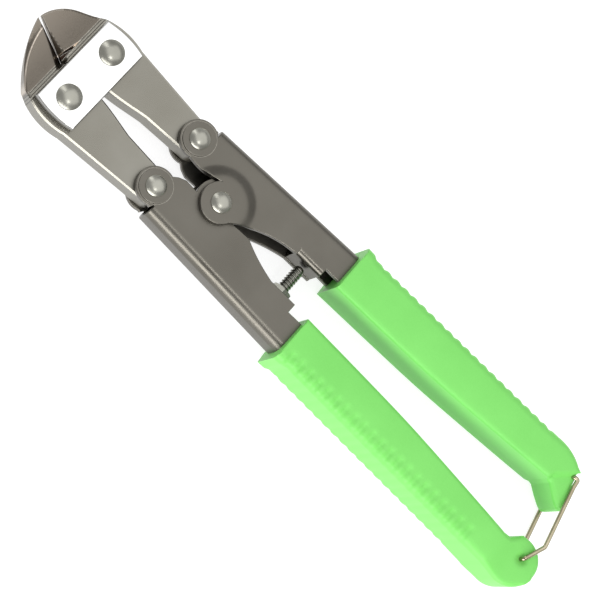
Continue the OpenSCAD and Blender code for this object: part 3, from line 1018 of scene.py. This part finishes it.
def outward(v):
    """For a vertex on a sheet's border, the way out along the sheet and the edge radius."""
    total = Vector()
    for e in v.link_edges:
        if e.is_boundary:
            loop = e.link_loops[0]
            along = loop.link_loop_next.vert.co - loop.vert.co
            total += along.cross(v.normal).normalized()
    return total.normalized() * EDGE_R, EDGE_R


def make_channel(node, body, lower):
    """The stamping, with a raised boss round the tail rivet on each face."""
    obj = thicken(node + "_piece", channel_middle(), lambda v: SHEET / 2, outward, steps=3)
    base, top = CHANNEL_Z - SHEET, BOSS_Z
    rows = [(base, 0), (base, BOSS_R), (top - 0.35, BOSS_R), (top - 0.12, BOSS_R - 0.10),
            (top, BOSS_R - 0.38), (top, 0)]
    for sign in (1, -1):
        boss = revolve("boss", rows, 48)
        turned = Matrix.Diagonal((1, 1, sign, 1))
        boss.data.transform(Matrix.Translation((TAIL.x, TAIL.y, 0)) @ turned)
        if sign < 0:
            boss.data.flip_normals()
        merge(obj, boss)
    settle(obj, body, "handle_steel", node, lower=lower)


# ---- grips ----

GRIP_MOUTH = Vector((-38.9, 20))
MOUTH_FACE = [Vector((GRIP_MOUTH.x, 9)), Vector((GRIP_MOUTH.x, 17.2))]
RIB_PITCH, FIRST_RIB, RIB_COUNT = 3.45, -42.3, 21
RIB_SHARPNESS = 1.4
UPPER_INNER_SHIFT, LOWER_INNER_SHIFT = -0.6, 0.15
UPPER_RIB_DEPTH, LOWER_RIB_DEPTH = 0.5, 0.12


def rib_wave(x):
    """0 on the ribs and beyond them, 1 in the middle of the grooves between them."""
    turns = (FIRST_RIB - x) / RIB_PITCH
    if not -0.5 < turns < RIB_COUNT - 0.5:
        return 0
    return (0.5 + 0.5 * math.cos(2 * math.pi * turns)) ** RIB_SHARPNESS


def inner_line(shift):
    """The side of a grip that faces the other handle."""
    line = [(-120, 10.4), (-104, 9.1), (-80, 7.4), (-60, 6.7), (GRIP_MOUTH.x, 6.2)]
    return flowing([(x, y + shift) for x, y in line], 1.2) + MOUTH_FACE


def grip_edge(p, q):
    """Edge radii round a grip: full along the outside, smaller inside and at the far end, and small
    round the mouth and at the corner next to the latch."""
    outside, inside, end, mouth, corner = 2.7, 1.4, 1.6, 0.45, 0.5
    middle = (p + q) / 2
    if middle.x > GRIP_MOUTH.x - 0.02:
        return mouth
    if middle.x < -125.2 and middle.y > 14.5 and p.y < 18:
        return corner
    share = smooth(-112, -126, middle.x)
    return (1 - share) * (outside if middle.y > 15 else inside) + share * end


def make_grip(node, body, outline, rib_depth, thinned, dents, lower):
    """A grip. thinned(x, y) is 1 where it is as thin as its end, and dents(x, y) go deeper."""
    crown, ribs_y, ribs_end_x, x_step, y_step = 0.28, 15, -116, 0.575, 0.75

    def half(x, y):
        back = GRIP_MOUTH.x - x
        low, high = 6.5 + 0.035 * max(0, back), 20 + 0.9 * back / 76.1
        off = (y - (low + high) / 2) / ((high - low) / 2)
        thick = GRIP_Z - crown * off * off
        return thick - (GRIP_Z - GRIP_END_Z) * thinned(x, y) - dents(x, y)

    def groove(v):
        if v.co.y < ribs_y or v.co.x < ribs_end_x:
            return 0
        return rib_depth * rib_wave(v.co.x)

    xs, ys = steps_between(-134, -39.4, x_step), steps_between(7.5, 19.5, y_step)
    obj = slab(node + "_piece", outline, grip_edge, half, 6, xs, ys, groove)
    settle(obj, body, "grip_green", node, lower=lower, sharp=60)


def make_grips():
    """Both grips start with a collar at the mouth, and each has its own end."""
    collar = [GRIP_MOUTH + Vector(p) for p in ((0, 0.9), (-2.4, 0.8), (-5, 0.1))]
    outline = collar + flowing([(-46, 20.08), (-75, 20.43), (-115, 20.9)], 2)
    outline += bow((-115, 20.9), (-126.3, 17.3), -1.2)[1:]
    outline += flowing([(-126.3, 17.3), (-125.6, 16.5), (-126.3, 15.4), (-127.6, 13.2),
                        (-128.7, 10.6), (-129.9, 8.2), (-130.0, 6.7), (-129.0, 5.7),
                        (-127.4, 5.8), (-124.6, 7.4), (-122.4, 8.9), (-121.6, 9.5)], 0.6)[1:]
    outline += inner_line(UPPER_INNER_SHIFT)

    def shoulder(x, y):
        """The upper grip's end is thinned behind a slanting shoulder, where the latch lies."""
        a, b = Vector((-119.5, 10.5)), Vector((-126.5, 17.1))
        along = (b - a).normalized()
        off = along.x * (y - a.y) - along.y * (x - a.x)
        return smooth(-0.45, 0.45, off)

    make_grip("upper_grip", "upper_handle", outline, UPPER_RIB_DEPTH, shoulder, lambda x, y: 0,
              False)

    lobe_centre, lobe_r = (-126.7, 13.5), 8.4
    outline = collar + flowing([(-46, 20.3), (-75, 20.75), (-115, 21.3), (-121, 21.6),
                                (-126.7, 21.9)], 2)
    outline += arc(lobe_centre, lobe_r, 90, 182)[1:] + bow((-135.1, 13.2), (-127, 6.6), -2.4)[1:]
    outline += [Vector((-125.6, 6.7)), Vector((-122.6, 10.0))]
    outline += inner_line(LOWER_INNER_SHIFT)

    def lobe(x, y):
        """The lower grip's end is thinned along a soft ramp."""
        return smooth(-119, -127.3, x)

    def dimples(x, y):
        """The ribs run a little way over the top, and a dish surrounds the wire's hole."""
        dimple_depth, dish_depth, dish_r = 0.6, 0.8, 2.4
        dish = dish_depth * (1 - smooth(0.7, dish_r, math.hypot(x - HINGE.x, y + HINGE.y)))
        return dimple_depth * rib_wave(x) * smooth(15.8, 17.3, y) + dish

    make_grip("lower_grip", "lower_handle", outline, LOWER_RIB_DEPTH, lobe, dimples, True)


# ---- latch ----


def make_latch():
    """One bent wire: each leg is hooked into the lower grip, and the crossbar joins the two."""
    hook, spread, bend_r = GRIP_END_Z - 2.6, 0.6, 1.1
    plan = [(-131.7, -5.6), (-127.3, 12.8), (-127.0, 15.4), (-125.7, 15.3)]
    near = [(HINGE.x, HINGE.y, hook), (HINGE.x, HINGE.y, LATCH_Z)]
    near += [(x, y, LATCH_Z) for x, y in plan]
    far = [(HINGE.x, HINGE.y, -hook), (HINGE.x, HINGE.y, -LATCH_Z)]
    far += [(x - spread, y, -LATCH_Z) for x, y in plan[:-1]] + [(*plan[-1], -LATCH_Z)]
    obj = tube("latch_wire_piece", rounded_path(near + far[::-1], bend_r), LATCH_WIRE_R, 16)
    settle(obj, "latch", "latch_nickel", "latch_wire")


# ---- stage ----


def add_light(name, size, power, place):
    """A white lamp that faces the origin and stays out of the camera's sight."""
    data = bpy.data.lights.new(name, "AREA")
    data.shape = "RECTANGLE"
    data.size, data.size_y = size
    data.energy = power
    lamp = bpy.data.objects.new(name, data)
    lamp.location = place
    lamp.visible_camera = False
    lamp.rotation_euler = (-Vector(place)).to_track_quat("-Z", "Y").to_euler()
    bpy.context.scene.collection.objects.link(lamp)


def make_stage():
    """A pale paper floor that glows a little, a white world and four lamps."""
    reach = 3.0
    square = [(-reach, -reach, 0), (reach, -reach, 0), (reach, reach, 0), (-reach, reach, 0)]
    floor = finish_mesh("floor", square, [[0, 1, 2, 3]])
    n = Nodes("floor_paper")
    tone = n.mix(n.noise(30, 3), (0.34, 0.34, 0.34, 1), (0.38, 0.38, 0.38, 1))
    paper = n.finish(Base_Color=tone, Roughness=0.9, Emission_Color=(1, 1, 1, 1),
                     Emission_Strength=0.82)
    floor.data.materials.append(paper)
    world = bpy.data.worlds.new("studio")
    world.use_nodes = True
    background = world.node_tree.nodes["Background"]
    background.inputs["Color"].default_value = (1, 1, 1, 1)
    background.inputs["Strength"].default_value = 0.5
    bpy.context.scene.world = world
    add_light("overhead", (1.6, 1.6), 7.5, (-0.16, -0.30, 0.9))
    add_light("key", (1.2, 0.44), 9.5, (-0.16, 0.90, 0.34))
    add_light("sparkle", (0.10, 0.10), 0.7, (-0.15, 0.24, 0.86))
    add_light("rim", (0.25, 0.7), 1.2, (0.75, -0.35, 0.4))
    bpy.context.scene.view_settings.view_transform = "Standard"


def make_camera():
    """The photograph's viewpoint, as the camera's axes and its place in metres."""
    data = bpy.data.cameras.new("camera")
    data.sensor_fit = "HORIZONTAL"
    data.angle = math.radians(14.86)
    camera = bpy.data.objects.new("camera", data)
    right = Vector((-0.70248, -0.62921, 0.33259))
    up = Vector((0.69158, -0.71384, 0.11022))
    back = right.cross(up)
    turn = Matrix((right, up, back)).transposed().to_4x4()
    camera.matrix_world = Matrix.Translation((0.1046, 0.1959, 0.6009)) @ turn
    bpy.context.scene.collection.objects.link(camera)
    bpy.context.scene.camera = camera


make_camera()
make_jaws()
make_link_plate("front_link_plate", False)
make_link_plate("rear_link_plate", True)
make_rivet("upper_jaw_rivet", "link", LINK, PLATE_TOP_Z, *LARGE_HEAD)
make_rivet("lower_jaw_rivet", "link", LINK, PLATE_TOP_Z, *LARGE_HEAD, lower=True)
make_rivet("upper_tail_rivet", "upper_handle", TAIL, BOSS_Z, *SMALL_HEAD)
make_rivet("lower_tail_rivet", "lower_handle", TAIL, BOSS_Z, *SMALL_HEAD, lower=True)
make_rivet("centre_rivet", "lower_handle", Vector((0, 0)), JOGGLE_TOP_Z, *SMALL_HEAD)
make_bush()
make_spring()
make_stop_screw()
make_lock_nut()
make_channel("upper_handle_channel", "upper_handle", False)
make_channel("lower_handle_channel", "lower_handle", True)
make_grips()
make_latch()
make_stage()
